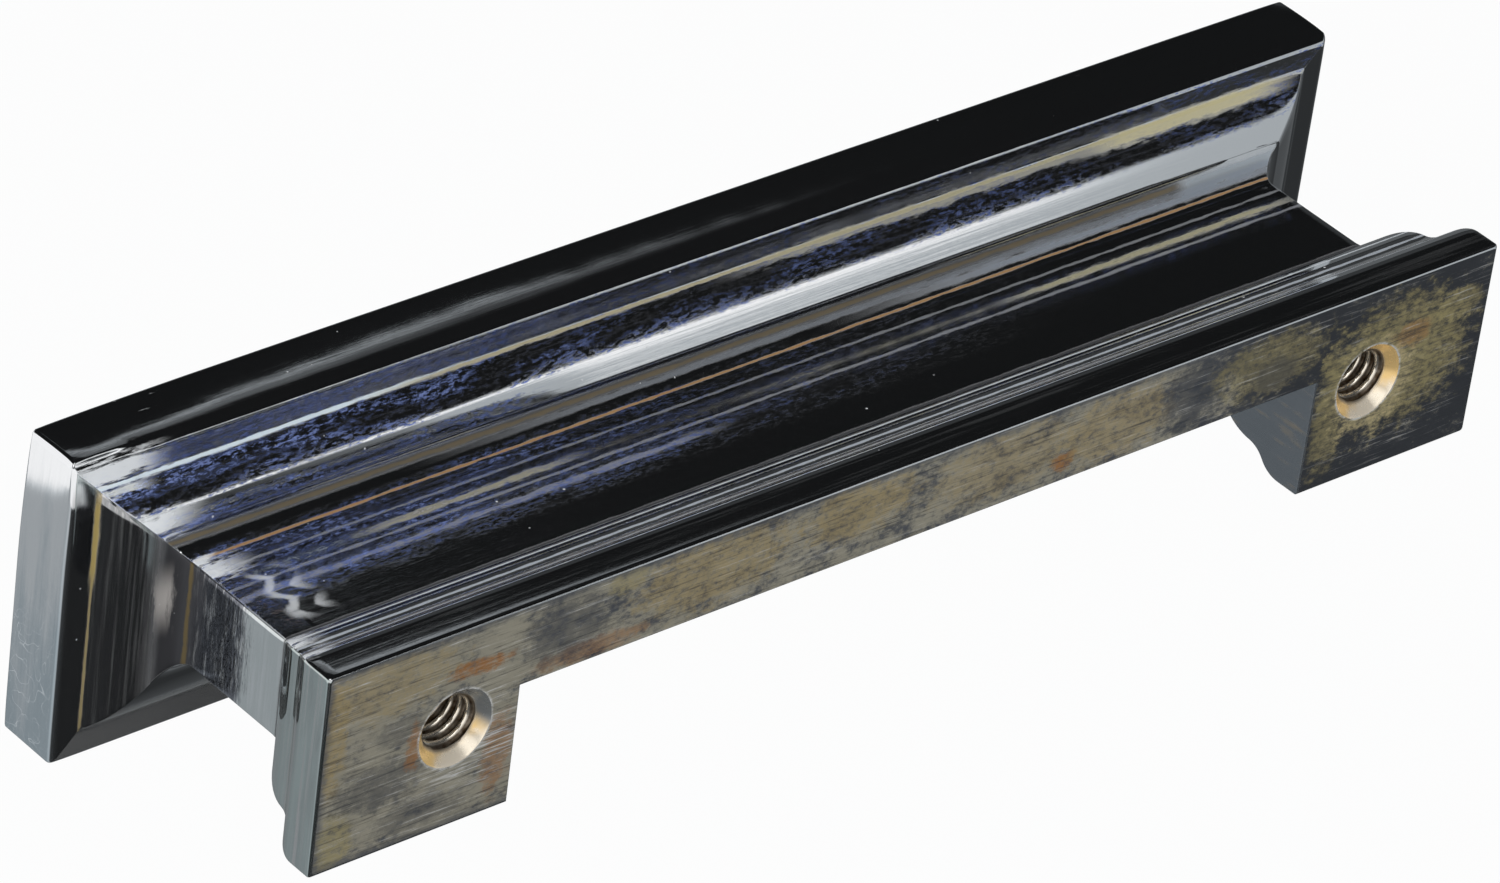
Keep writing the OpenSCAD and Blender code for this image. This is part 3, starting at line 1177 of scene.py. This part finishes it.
@dataclass(frozen=True)
class PlatedFinish:
    """Polished plating: mirror bright, with blue haze, fine polishing lines and tarnish in the corners, and
    films of painted highlight and painted shade.
    """

    coat: Colour = (0.86, 0.87, 0.885)
    haze: Colour = (0.30, 0.39, 0.80)
    dust: Colour = (0.55, 0.55, 0.55)
    gloss: float = 0.025
    film_rough: float = 0.34
    mark_metal: float = 0.2
    mark_rough: float = 0.3
    # The near end: painted shade on its swell and neck, a painted reflection on its plate, and grey-green on
    # its base.
    end_swell_shade: Colour = (0.16, 0.16, 0.165)
    end_neck_shade: Colour = (0.13, 0.14, 0.17)
    end_low_reflection: Colour = (0.55, 0.62, 0.66)
    end_base: Colour = (0.50, 0.57, 0.56)
    # White for frost, specks and scratches, and for the painted sheen reflection.
    white: Colour = WORN_WHITE_AND_HIGHLIGHT
    films: tuple[Film, ...] = (
        END_FILMS + STRIP_FILMS + COVE_FILMS + CORNER_FILMS + NECK_FILMS + MITRE_HIGHLIGHTS + BASE_FILMS
    )

    def shader(self, place: Place) -> Expr:
        """Adds the shader for the plated surface.

        Args:
            place: Where a point of the surface lies.

        Returns:
            The shader.
        """
        graph = place.graph
        lines = graph.noise(place.run * 0.06, place.reach * 3.6, place.depth * 3.6, detail=5.0, rough=0.65)
        fleck = graph.noise(place.run * 1.3, place.reach * 4.2, place.depth * 4.2, detail=7.0, rough=0.8)
        cloud = graph.noise(place.run * 0.16, place.reach * 0.9, place.depth * 0.9, detail=4.0)
        fog = self._fog(place, lines, fleck, cloud)
        fogged = graph.mix(place.top * place.depth.ramp(NECK_FROM, NECK_FROM + 0.3), self.dust, self.haze)
        colour = graph.mix(fog.ramp(0.0, 0.08), self._tinted(place, lines, cloud), fogged)
        by_plate = place.depth.band(16.0, 18.0, PLATE_FROM, PLATE_FROM + 0.25)
        frost = fleck.ramp(0.66, 0.74) * place.top * by_plate
        colour = graph.mix(frost * 0.6, colour, self.white)
        metal = 1 - (fog + frost * place.x.ramp(-40.0, 20.0) * 0.3)
        surface = Surface(graph, colour, metal, lines * 0.04 + fog * 0.4 + self.gloss)
        for film in self.films:
            surface.cover(film.mask(place), film.colour, film.metal, self.film_rough)
        for amount in (self._specks(place), self._scratches(place), self._sheen(place)):
            surface.cover(amount, self.white, self.mark_metal, self.mark_rough)
        grit = fleck * fog * place.depth.ramp(NECK_FROM, NECK_FROM + 0.6) * 0.01
        height = lines * 0.0025 + grit + self._scuffs(place)
        return graph.metal(surface.colour, surface.metal, surface.rough, height)

    def _tinted(self, place: Place, lines: Expr, cloud: Expr) -> Expr:
        """The metal's colour, with painted shade on the near end's swell and neck, a pale painted reflection
        towards the bottom of the plate's end, and grey-green on the base's end.

        Args:
            place: Where a point of the surface lies.
            lines: The noise of the polishing lines.
            cloud: The broad soft noise.

        Returns:
            The colour.
        """
        graph = place.graph
        plate_end = place.near_end * place.depth.ramp(PLATE_FROM, PLATE_FROM + 0.4)
        low = place.depth.ramp(NECK_FROM, NECK_FROM - 0.2) * 0.5 + place.depth.ramp(13.0, 12.0) * 0.5
        base_end = place.near_end * low
        behind = place.near_end * place.depth.ramp(PLATE_FROM + 0.25, PLATE_FROM - 0.05)
        swell = behind * place.reach.ramp(1.7, 2.1)
        upright = place.upright()
        broad = graph.noise(place.depth * 0.6, place.z * 0.7, 6.0)
        ragged = upright.swing(5.0) + broad.swing(2.0) + place.depth
        neck = place.near_end * place.reach.ramp(0.6, 0.3) * ragged.ramp(12.2, 13.2)
        # Painted shade darkens the near end's swell and neck.
        colour = graph.mix(swell * (lines * 1.1 + 0.25).at_most(1.0), self.coat, self.end_swell_shade)
        colour = graph.mix(neck * upright.ramp(0.7, 0.5) * 0.95, colour, self.end_neck_shade)
        # Painted reflection: pale blue-grey, more of it towards the bottom of the plate's end.
        lower = place.z * -0.06 + cloud.swing(1.6) + lines.swing(0.6) + 0.45
        colour = graph.mix(plate_end * lower.ramp(0.0, 1.0), colour, self.end_low_reflection)
        greyed = base_end * (cloud.swing(1.8) + lines.swing(1.2) + 0.85).at_least(0.0).at_most(1.0)
        return graph.mix(greyed, colour, self.end_base)

    @staticmethod
    def _fog(place: Place, lines: Expr, fleck: Expr, cloud: Expr) -> Expr:
        """How much the plating has hazed over.

        Args:
            place: Where a point of the surface lies.
            lines: The noise of the polishing lines.
            fleck: The fine noise of specks.
            cloud: The broad soft noise.

        Returns:
            The amount.
        """
        behind = place.depth.band(11.0, 13.2, PLATE_FROM - 0.05, PLATE_FROM + 0.25)
        strip = place.reach.band(5.2, 5.5, 6.8, 7.1)
        swell = place.reach.band(3.1, 3.8, 5.1, 5.4)
        crest = place.reach.band(1.6, 2.1, 2.6, 3.0) * place.x.ramp(14.0, 26.0)
        neck = place.reach.ramp(0.5, 0.2) * place.x.ramp(-30.0, 20.0)
        dull = (strip * 0.1 + swell * 0.17 + crest * 0.17 + neck * 0.13) * behind
        dull = dull * (place.x.ramp(2.0, 36.0) * 1.5 + 1.0)
        clouded = fleck.ramp(0.48, 0.60) * (cloud.ramp(0.35, 0.65) * 1.2 + 0.12)
        above = place.top * dull * (clouded + lines.ramp(0.5, 0.75) * 0.3)
        under = (1 - place.end) * place.z.ramp(0.0, -1.0) * (strip * 0.13 + swell * 0.08) * behind
        base = place.top * place.depth.ramp(NECK_FROM + 0.2, NECK_FROM) * lines.ramp(0.52, 0.66) * 0.025
        raised = place.reach.ramp(1.7, 2.1) * place.depth.ramp(PLATE_FROM + 0.1, PLATE_FROM - 0.2)
        streaks = raised * lines.ramp(0.45, 0.7) * 0.06
        return above + under + base + place.near_end * (streaks + lines * 0.02)

    @staticmethod
    def _specks(place: Place) -> Expr:
        """Dust and pinholes: small sparse white dots.

        Args:
            place: Where a point of the surface lies.

        Returns:
            The amount, from 0 to 1.
        """
        graph = place.graph
        spot = graph.vector(place.x, place.y, place.z)
        cell = graph.add("ShaderNodeTexVoronoi", None, {"Vector": spot, "Scale": 1.1})
        chance = graph.add("ShaderNodeSeparateXYZ", None, [cell.out("Color")])
        crowd = (place.x.ramp(0.0, 30.0) * 0.09 + 0.02) * place.depth.ramp(PLATE_FROM + 0.4, PLATE_FROM)
        return cell.ramp(chance.out(1) * 0.12 + 0.03, 0.02) * (chance + crowd).above(0.97) * 0.9

    @staticmethod
    def _scratches(place: Place) -> Expr:
        """Fine curved scratches low on the near end of the plate.

        Args:
            place: Where a point of the surface lies.

        Returns:
            The amount, from 0 to 1.
        """
        graph = place.graph
        swirl = graph.noise(place.y * 0.32, place.z * 0.2, 4.0)
        other = graph.noise(place.y * 0.2, place.z * 0.3, 9.0)
        broken = graph.noise(place.y * 0.8, place.z * 0.8, 2.0).ramp(0.34, 0.52)
        curves = abs((swirl * 32).sine()).ramp(0.10, 0.0) + abs((other * 25).sine()).ramp(0.08, 0.0)
        on_plate = place.near_end * place.depth.ramp(PLATE_FROM + 0.2, PLATE_FROM + 0.8)
        where = on_plate * place.z.ramp(2.5, -3.0)
        return curves.at_most(1.0) * broken * where * 0.36

    @staticmethod
    def _sheen(place: Place) -> Expr:
        """A folded bright reflection on the neck near the top mitre.

        Args:
            place: Where a point of the surface lies.

        Returns:
            The amount, from 0 to 1.
        """
        graph = place.graph
        bend = graph.noise(place.x * 0.5, place.depth * 0.5, 1.0, detail=3.0)
        fold = abs((place.depth * 0.42).fraction() - 0.5)
        folds = (fold * 7.5 + place.x * 2.6 + bend * 5.0).sine().ramp(-0.3, 1.0)
        where = place.reach.ramp(0.6, 0.2) * place.x.band(39.4, 41.2, 42.6, 43.4)
        return folds * where * place.depth.band(9.4, 10.6, 14.6, 16.0) * place.top * 0.6

    @staticmethod
    def _scuffs(place: Place) -> Expr:
        """Height of the uneven buffing beside the near top mitre, in millimetres.

        Args:
            place: Where a point of the surface lies.

        Returns:
            The height.
        """
        graph = place.graph
        on_neck = place.reach.ramp(0.6, 0.2) * place.depth.ramp(NECK_FROM, NECK_FROM + 1.0)
        coarse = graph.noise(place.x * 1.5, place.depth * 1.2, 5.0, detail=5.0, rough=0.6)
        dented = place.top * coarse * 0.22 * place.x.ramp(42.3, 43.4)
        drawn = place.near_end * place.upright() * 0.03 * place.depth.ramp(10.0, 13.5)
        return on_neck * place.x.ramp(30.0, 31.0) * (dented + drawn)


@dataclass(frozen=True)
class Stain:
    """One soft-edged patch of tarnish on the back, in millimetres."""

    x: float
    z: float
    wide: float
    high: float
    colour: Colour
    strength: float = 0.8

    def mask(self, place: Place, edge: Expr, grain: Expr) -> Expr:
        """How much of the stain lies at a point.

        Args:
            place: Where a point of the surface lies.
            edge: The noise that makes edges ragged.
            grain: The fine noise of the grain.

        Returns:
            The amount, from 0 to 1.
        """
        across, up = (place.x - self.x) / self.wide, (place.z - self.z) / self.high
        away = distance(across, up) + edge.swing(2.6)
        return away.ramp(1.3, 0.7) * (grain.ramp(0.36, 0.56) * 0.7 + 0.3) * self.strength


TAN: Colour = (0.56, 0.44, 0.23)
OLIVE: Colour = (0.53, 0.45, 0.22)
GOLD: Colour = (0.80, 0.67, 0.38)
RUST: Colour = (0.52, 0.23, 0.07)
SLATE: Colour = (0.09, 0.10, 0.12)


@dataclass(frozen=True)
class BackFinish:
    """The back: brushed along its length, worn thin and tarnished."""

    pale: Colour = (0.50, 0.465, 0.37)
    dark: Colour = (0.15, 0.16, 0.18)
    black: Colour = (0.065, 0.07, 0.08)
    bright: Colour = (0.88, 0.87, 0.84)
    white: Colour = (0.93, 0.92, 0.90)
    hole_x: float = TappedHoles.spacing / 2
    scored_at: Point = (36.4, -2.3)
    scored_half: Point = (4.2, 2.8)
    stains: tuple[Stain, ...] = (
        Stain(47.6, 2.8, 1.0, 4.4, TAN, 0.85),
        Stain(43.5, 5.2, 4.6, 2.2, TAN, 0.6),
        Stain(46.9, -5.4, 1.4, 2.0, OLIVE, 0.7),
        Stain(43.8, -2.2, 3.4, 1.7, SLATE, 0.6),
        Stain(40.5, -5.4, 3.6, 1.2, SLATE, 0.45),
        Stain(42.4, 1.4, 2.0, 1.0, SLATE, 0.45),
        Stain(36.6, 4.1, 2.2, 0.6, RUST, 0.9),
        Stain(41.2, -0.2, 0.6, 1.6, RUST, 0.75),
        Stain(34.6, -3.0, 1.1, 2.8, RUST, 0.6),
        Stain(25.4, 6.5, 1.7, 0.9, OLIVE, 0.6),
        Stain(18.4, 4.8, 5.8, 2.5, TAN, 0.75),
        Stain(28.0, 2.3, 4.2, 0.7, RUST, 0.5),
        Stain(30.0, 4.5, 3.2, 2.2, SLATE, 0.6),
        Stain(6.7, 5.3, 4.2, 2.0, TAN, 0.8),
        Stain(-5.5, 4.6, 5.8, 2.3, TAN, 0.55),
        Stain(-10.7, 3.0, 0.9, 0.7, RUST, 0.9),
        Stain(-15.0, 4.3, 4.5, 2.4, TAN, 0.65),
        Stain(-21.9, 4.4, 2.3, 2.6, SLATE, 0.8),
        Stain(-28.5, 4.6, 4.6, 2.2, OLIVE, 0.55),
        Stain(-29.0, 3.6, 2.0, 1.1, SLATE, 0.55),
        Stain(-40.5, 0.9, 6.0, 4.6, OLIVE, 0.8),
        Stain(-45.6, 3.6, 2.2, 1.2, OLIVE, 0.6),
        Stain(-34.9, -1.0, 1.4, 5.0, OLIVE, 0.6),
        Stain(-41.6, 2.6, 1.6, 1.0, RUST, 0.5),
        Stain(-38.6, -0.6, 3.3, 3.3, GOLD, 0.75),
    )

    def shader(self, place: Place) -> Expr:
        """Adds the shader for the brushed back.

        Args:
            place: Where a point of the surface lies.

        Returns:
            The shader.
        """
        graph = place.graph
        brushed = graph.noise(place.x * 0.16, 0.0, place.z * 4.5, detail=6.0, rough=0.75)
        grain = graph.noise(place.x * 1.5, 0.0, place.z * 2.6, detail=8.0, rough=0.75)
        cloud = graph.noise(place.x * 0.3, 3.0, place.z * 0.5, detail=6.0, rough=0.65)
        edge = graph.noise(place.x * 0.9, 7.0, place.z * 1.4, detail=8.0, rough=0.7)
        colour = self._tarnished(place, grain, cloud, edge)
        worn = cloud.ramp(0.42, 0.58) * 0.35 + place.x.ramp(24.0, 34.0) * 0.45 + 0.25
        colour = graph.mix(brushed.ramp(0.55, 0.68) * worn, colour, self.bright)
        colour = graph.mix(self._scored(place, edge) * 0.9, colour, self.white)
        colour = graph.mix(brushed.ramp(0.49, 0.34) * 0.75, colour, self.black)
        # A bright ring painted round each hole's mouth, as the highlight of its rounded rim.
        out = distance(abs(place.x) - self.hole_x, place.z) + edge.swing(0.25)
        colour = graph.mix(out.ramp(3.0, 2.82) * grain.ramp(0.4, 0.55), colour, self.bright)
        rough = brushed * 0.2 + grain * 0.15 + 0.22
        return graph.metal(colour, cloud * -0.3 + 0.8, rough, brushed * 0.012 + grain * 0.006)

    def _tarnished(self, place: Place, grain: Expr, cloud: Expr, edge: Expr) -> Expr:
        """Colour of the tarnished metal: mottled, stained, and dark along the rim and on the right.

        Args:
            place: Where a point of the surface lies.
            grain: The fine noise of the grain.
            cloud: The broad soft noise.
            edge: The noise that makes edges ragged.

        Returns:
            The colour.
        """
        graph = place.graph
        right = place.x.ramp(-16.0, -33.0)
        dark = graph.mix(right, self.dark, self.black)
        mottle = grain * 0.6 + cloud * 0.6 + right * -0.16 + place.x.ramp(30.0, 34.0) * 0.05
        colour = graph.mix(mottle.ramp(0.48, 0.66), dark, self.pale)
        for stain in self.stains:
            colour = graph.mix(stain.mask(place, edge, grain), colour, stain.colour)
        rim = (abs(place.z) - 7.4).at_least(abs(place.x) - 48.5) + edge.swing(1.4)
        return graph.mix(rim.ramp(-0.9, -0.2) * 0.75, colour, dark)

    def _scored(self, place: Place, edge: Expr) -> Expr:
        """Where bright scratches lie beside the left hole.

        Args:
            place: Where a point of the surface lies.
            edge: The noise that makes edges ragged.

        Returns:
            The amount, from 0 to 1.
        """
        scratch = place.graph.noise(place.x * 0.3, 5.0, place.z * 6.0, detail=3.0, rough=0.7)
        across = (place.x - self.scored_at[0]) / self.scored_half[0]
        up = (place.z - self.scored_at[1]) / self.scored_half[1]
        near = (distance(across, up) + edge.swing(1.2)).ramp(1.15, 0.5)
        return scratch.ramp(0.5, 0.6) * near


@dataclass(frozen=True)
class PocketFinish:
    """The pocket's walls: thin dull plating over the milled metal, streaked from front to back."""

    metal: Colour = (0.19, 0.21, 0.23)
    streak: Colour = (0.36, 0.29, 0.2)

    def shader(self, place: Place) -> Expr:
        """Adds the shader for the pocket's walls.

        Args:
            place: Where a point of the surface lies.

        Returns:
            The shader.
        """
        graph = place.graph
        lines = graph.noise(place.x * 6.0, place.depth * 0.2, place.z * 2.5, detail=3.0)
        cloud = graph.noise(place.x * 0.5, place.depth * 0.5, place.z * 0.5, detail=4.0)
        colour = graph.mix((lines * cloud).ramp(0.26, 0.46) * 0.6, self.metal, self.streak)
        rough = lines * 0.1 + cloud * 0.1 + 0.16
        return graph.metal(colour, 0.95, rough, lines * 0.004)


@dataclass(frozen=True)
class BoreFinish:
    """Bare brass in the tapped holes: pale on the crests, with painted shade in the grooves, and a painted
    glint and painted shade in the mouth.
    """

    crest: Colour = (0.97, 0.90, 0.78)
    # Painted shade for the thread's grooves.
    groove: Colour = (0.07, 0.042, 0.02)
    gold: Colour = (0.93, 0.64, 0.27)
    # Grey painted as shade on one side of the mouth.
    mouth_shade: Colour = (0.24, 0.25, 0.25)
    hole_x: float = TappedHoles.spacing / 2
    groove_from: float = TappedHoles.minor_r + 0.04
    groove_to: float = TappedHoles.major_r - 0.143

    def shader(self, place: Place) -> Expr:
        """Adds the shader for the tapped holes.

        Args:
            place: Where a point of the surface lies.

        Returns:
            The shader.
        """
        graph = place.graph
        across = abs(place.x) - self.hole_x
        side = across * place.x.ramp(-1.0, 1.0).toward(-1.0, place.x.ramp(1.0, -1.0))
        out = distance(across, place.z)
        deep = place.depth.ramp(0.55, 0.9)
        blotches = graph.noise(place.x * 2.0, place.depth * 2.0, place.z * 2.0, detail=4.0)
        # Painted shade darkens the thread's grooves.
        low = out.ramp(self.groove_from, self.groove_to) * deep * (blotches * 0.6 + 0.6).at_most(1.0)
        # Painted shade: grey on one side of the near hole's mouth.
        shaded = (place.z * 0.5 - side * 0.5).ramp(0.45, 1.3) * place.x.ramp(-1.0, 1.0)
        mouth = graph.mix(shaded, self.gold, self.mouth_shade)
        # Painted glint: the mouth turns pale towards its lower side.
        glow = (side * -0.35 - place.z * 0.9 + blotches.swing(0.8)).ramp(1.2, 2.2)
        mouth = graph.mix(glow * 0.85, mouth, self.crest)
        colour = graph.mix(deep, mouth, self.crest)
        colour = graph.mix(low, colour, self.groove)
        rough = blotches * 0.12 + low * 0.25 + 0.1 + (1 - deep) * 0.1
        return graph.metal(colour, deep * 0.4 + 0.5, rough)


class Finish(Protocol):
    """What every finish can do."""

    def shader(self, place: Place) -> Expr:
        """Adds the finish's shader."""


def empty_tree(owner: bpy.types.Material | bpy.types.World) -> Graph:
    """Gives a material or a world an empty node tree.

    Args:
        owner: The material or world.

    Returns:
        The graph of its tree.
    """
    owner.use_nodes = True
    owner.node_tree.nodes.clear()
    return Graph(owner.node_tree)


def finish_material(region: Region, finish: Finish, neck_half: Point) -> bpy.types.Material:
    """Makes the material of one region from its finish.

    Args:
        region: The region.
        finish: Its finish.
        neck_half: Half the neck's length and height.

    Returns:
        The material.
    """
    material = bpy.data.materials.new(f"{METAL_SLOT}_{region.name.lower()}")
    graph = empty_tree(material)
    graph.add("ShaderNodeOutputMaterial", None, {"Surface": finish.shader(Place(graph, neck_half))})
    return material


@dataclass(frozen=True)
class Camera:
    """The photograph's viewpoint, in millimetres and degrees."""

    aim: tuple[float, float, float] = (6.82, -10.44, 4.27)
    azimuth: float = 46.066
    elevation: float = 33.17
    roll: float = 7.75
    distance: float = 534.13
    lens: float = 203.63
    sensor: float = 36.0
    clip_m: Point = (0.01, 50.0)

    def build(self) -> bpy.types.Object:
        """Makes the camera and sets it as the scene's.

        Returns:
            The camera.
        """
        turn, rise = math.radians(self.azimuth), math.radians(self.elevation)
        back = Vector((math.cos(rise) * math.cos(turn), math.cos(rise) * math.sin(turn), math.sin(rise)))
        data = bpy.data.cameras.new("view")
        data.lens = self.lens
        data.sensor_width = self.sensor
        data.clip_start, data.clip_end = self.clip_m
        camera = bpy.data.objects.new("view", data)
        spin = Matrix.Rotation(math.radians(self.roll), 4, "Z")
        look = back.to_track_quat("Z", "Y").to_matrix().to_4x4() @ spin
        camera.matrix_world = Matrix.Translation((Vector(self.aim) + back * self.distance) * MM) @ look
        bpy.context.scene.collection.objects.link(camera)
        bpy.context.scene.camera = camera
        return camera


@dataclass(frozen=True)
class Patch:
    """A soft-edged light of the studio, as polished metal reflects it, in degrees."""

    azimuth: float
    elevation: float
    wide: float
    tall: float
    level: float


@dataclass(frozen=True)
class Surroundings:
    """What polished metal sees in each direction: a white horizon, a dark ceiling and a floor in shade."""

    ceiling: float = 0.008
    # Tones near the pull below the horizon: the world's light there, and painted shade on the floor as
    # reflections see it.
    near_floor: tuple[Point, ...] = (
        (-180.0, 0.06),
        (-100.0, 0.25),
        (-60.0, 0.38),
        (-25.0, 0.42),
        (-10.0, 0.55),
        (8.0, 0.55),
        (24.0, 0.05),
        (113.0, 0.03),
        (140.0, 0.03),
        (155.0, 0.045),
        (180.0, 0.06),
    )
    far_floor: tuple[Point, ...] = (
        (-180.0, 0.12),
        (-100.0, 0.12),
        (-80.0, 1.0),
        (100.0, 1.0),
        (112.0, 0.05),
        (122.8, 0.05),
        (125.0, 0.46),
        (146.0, 0.46),
        (160.0, 0.12),
        (180.0, 0.12),
    )
    patches: tuple[Patch, ...] = (
        Patch(azimuth=237, elevation=36.2, wide=12, tall=0.55, level=0.32),
        Patch(azimuth=237, elevation=37.8, wide=12, tall=1.5, level=0.12),
        Patch(azimuth=233, elevation=18.5, wide=34, tall=7, level=0.04),
        Patch(azimuth=74, elevation=26, wide=19, tall=11, level=1.5),
    )

    def level(self, graph: Graph, way: Expr) -> Expr:
        """Brightness seen in a direction.

        Args:
            graph: The graph to add to.
            way: The direction, of length 1.

        Returns:
            The brightness, where 1 is white.
        """
        dx = graph.add("ShaderNodeSeparateXYZ", None, [way])
        dy, dz = dx.out(1), dx.out(2)
        turn = dy.angle_from(dx) / (2 * math.pi) + 0.5
        near, beyond = (self._round(graph, turn, tones) for tones in (self.near_floor, self.far_floor))
        far = beyond.toward(1.0, dz.ramp(0.118, 0.14) * turn.ramp(0.24, 0.27) * turn.ramp(0.8595, 0.8555))
        rise = dz - turn.ramp(0.80, 0.84) * 0.05
        level = near.toward(far, rise.ramp(-0.478, -0.468))
        level = level.toward(self.ceiling, dz.ramp(0.165, 0.185))
        for patch in self.patches:
            level = level.at_least(self._patch(patch, dx, dy, dz))
        return level

    @staticmethod
    def _round(graph: Graph, turn: Expr, tones: Sequence[Point]) -> Expr:
        """Tone at a turn of the compass, from pairs of azimuth and tone."""
        stops = [((azimuth + 180) / 360, tone) for azimuth, tone in tones]
        return graph.add("ShaderNodeValToRGB", {"stops": stops}, [turn])

    @staticmethod
    def tint(graph: Graph, level: Expr) -> Expr:
        """Colour of the light at a level: white where it is bright, and faintly blue in shade."""
        hue = graph.mix(level.ramp(0.6, 0.95), (0.90, 0.96, 1.0), (1.0, 1.0, 1.0))
        return graph.mix(1.0, hue, graph.vector(level, level, level), "MULTIPLY")

    @staticmethod
    def _patch(patch: Patch, dx: Expr, dy: Expr, dz: Expr) -> Expr:
        """Brightness of one patch in a direction.

        Args:
            patch: The patch.
            dx: The direction's part along X.
            dy: The direction's part along Y.
            dz: The direction's part along Z.

        Returns:
            The brightness.
        """
        turn, rise = math.radians(patch.azimuth), math.radians(patch.elevation)
        side = dx * -math.sin(turn) + dy * math.cos(turn)
        ahead = dx * math.cos(turn) + dy * math.sin(turn)
        across = abs(side.angle_from(ahead)) / math.radians(patch.wide)
        height = abs(dz - math.sin(rise)) / (math.radians(patch.tall) * math.cos(rise))
        return across.ramp(1.25, 0.75) * height.ramp(1.3, 0.7) * patch.level


@dataclass(frozen=True)
class Lamp:
    """A soft square lamp that faces the pull, in metres and watts."""

    name: str
    place: tuple[float, float, float]
    size: float
    power: float

    def build(self) -> None:
        """Makes the lamp, unseen in reflections."""
        data = bpy.data.lights.new(self.name, "AREA")
        data.shape = "SQUARE"
        data.size = self.size
        data.energy = self.power
        lamp = bpy.data.objects.new(self.name, data)
        lamp.location = self.place
        lamp.rotation_euler = Vector(self.place).to_track_quat("Z", "Y").to_euler()
        lamp.visible_glossy = False
        bpy.context.scene.collection.objects.link(lamp)


@dataclass(frozen=True)
class Studio:
    """The plain pale studio: floor, world and lamps."""

    floor_drop: float = 0.45
    floor_half: float = 6.0
    floor_tone: float = 0.86
    plain_level: float = 0.8
    seen: Surroundings = field(default_factory=Surroundings)
    lamps: tuple[Lamp, ...] = (
        Lamp("key", (0.25, 1.0, 1.1), size=0.7, power=6.0),
        Lamp("fill", (1.0, -0.6, 0.8), size=0.9, power=3.0),
    )

    def build(self) -> None:
        """Makes the floor, the world and the lamps."""
        self._world()
        self._floor()
        for lamp in self.lamps:
            lamp.build()

    def _world(self) -> None:
        """White for the camera, and even light for matt surfaces."""
        world = bpy.data.worlds.new("studio")
        bpy.context.scene.world = world
        graph = empty_tree(world)
        level = self.seen.level(graph, graph.add("ShaderNodeTexCoord", None, (), "Generated"))
        rays = graph.add("ShaderNodeLightPath", None, (), "Is Glossy Ray")
        seen = (level - self.plain_level) * rays + self.plain_level
        colour = self.seen.tint(graph, seen.toward(1.0, rays.out("Is Camera Ray")))
        light = graph.add("ShaderNodeBackground", None, {"Color": colour, "Strength": 1.0})
        graph.add("ShaderNodeOutputWorld", None, {"Surface": light})

    def _floor(self) -> None:
        """A wide pale floor, white to the camera, with painted shade below the pull that reflections see."""
        half = self.floor_half
        corners = np.array([(-half, -half, 0), (half, -half, 0), (half, half, 0), (-half, half, 0)])
        floor = make_mesh("floor", corners - np.array([0, 0, self.floor_drop]), [(0, 1, 2, 3)])
        material = bpy.data.materials.new("pale_floor")
        graph = empty_tree(material)
        matt = graph.add("ShaderNodeBsdfDiffuse", None, {"Color": (self.floor_tone,) * 3})
        spot = graph.add("ShaderNodeTexCoord", None, (), "Object")
        way = graph.add("ShaderNodeVectorMath", {"operation": "NORMALIZE"}, [spot])
        rays = graph.add("ShaderNodeLightPath", None, (), "Is Glossy Ray")
        camera = rays.out("Is Camera Ray")
        colour = self.seen.tint(graph, self.seen.level(graph, way).toward(1.0, camera))
        glow = graph.add("ShaderNodeEmission", None, {"Color": colour, "Strength": 1.0})
        share = (rays + camera * 0.9).at_most(1.0)
        mixed = graph.add("ShaderNodeMixShader", None, [share, matt, glow])
        graph.add("ShaderNodeOutputMaterial", None, {"Surface": mixed})
        floor.data.materials.append(material)


def main() -> None:
    """Builds the camera, the studio and the pull."""
    logging.basicConfig(level=logging.INFO)
    bpy.context.scene.view_settings.view_transform = "Standard"
    Camera().build()
    Studio().build()
    low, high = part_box(CAD_NODE)
    size = (high - low) / MM
    moulding = Moulding(depth=size.y)
    pull = PullBody((size.x / 2, size.z / 2), moulding)
    neck_half = pull.half(0.0)
    finishes = {
        Region.PLATED: PlatedFinish(),
        Region.BACK: BackFinish(),
        Region.POCKET: PocketFinish(),
        Region.BORE: BoreFinish(),
    }
    body = pull.build([finish_material(region, finish, neck_half) for region, finish in finishes.items()])
    body.name = "plated_body"
    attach(body, ROOT_BODY)
    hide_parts(CAD_NODE)
    LOG.info("%s: %d faces", body.name, len(body.data.polygons))


if __name__ == "__main__":
    main()
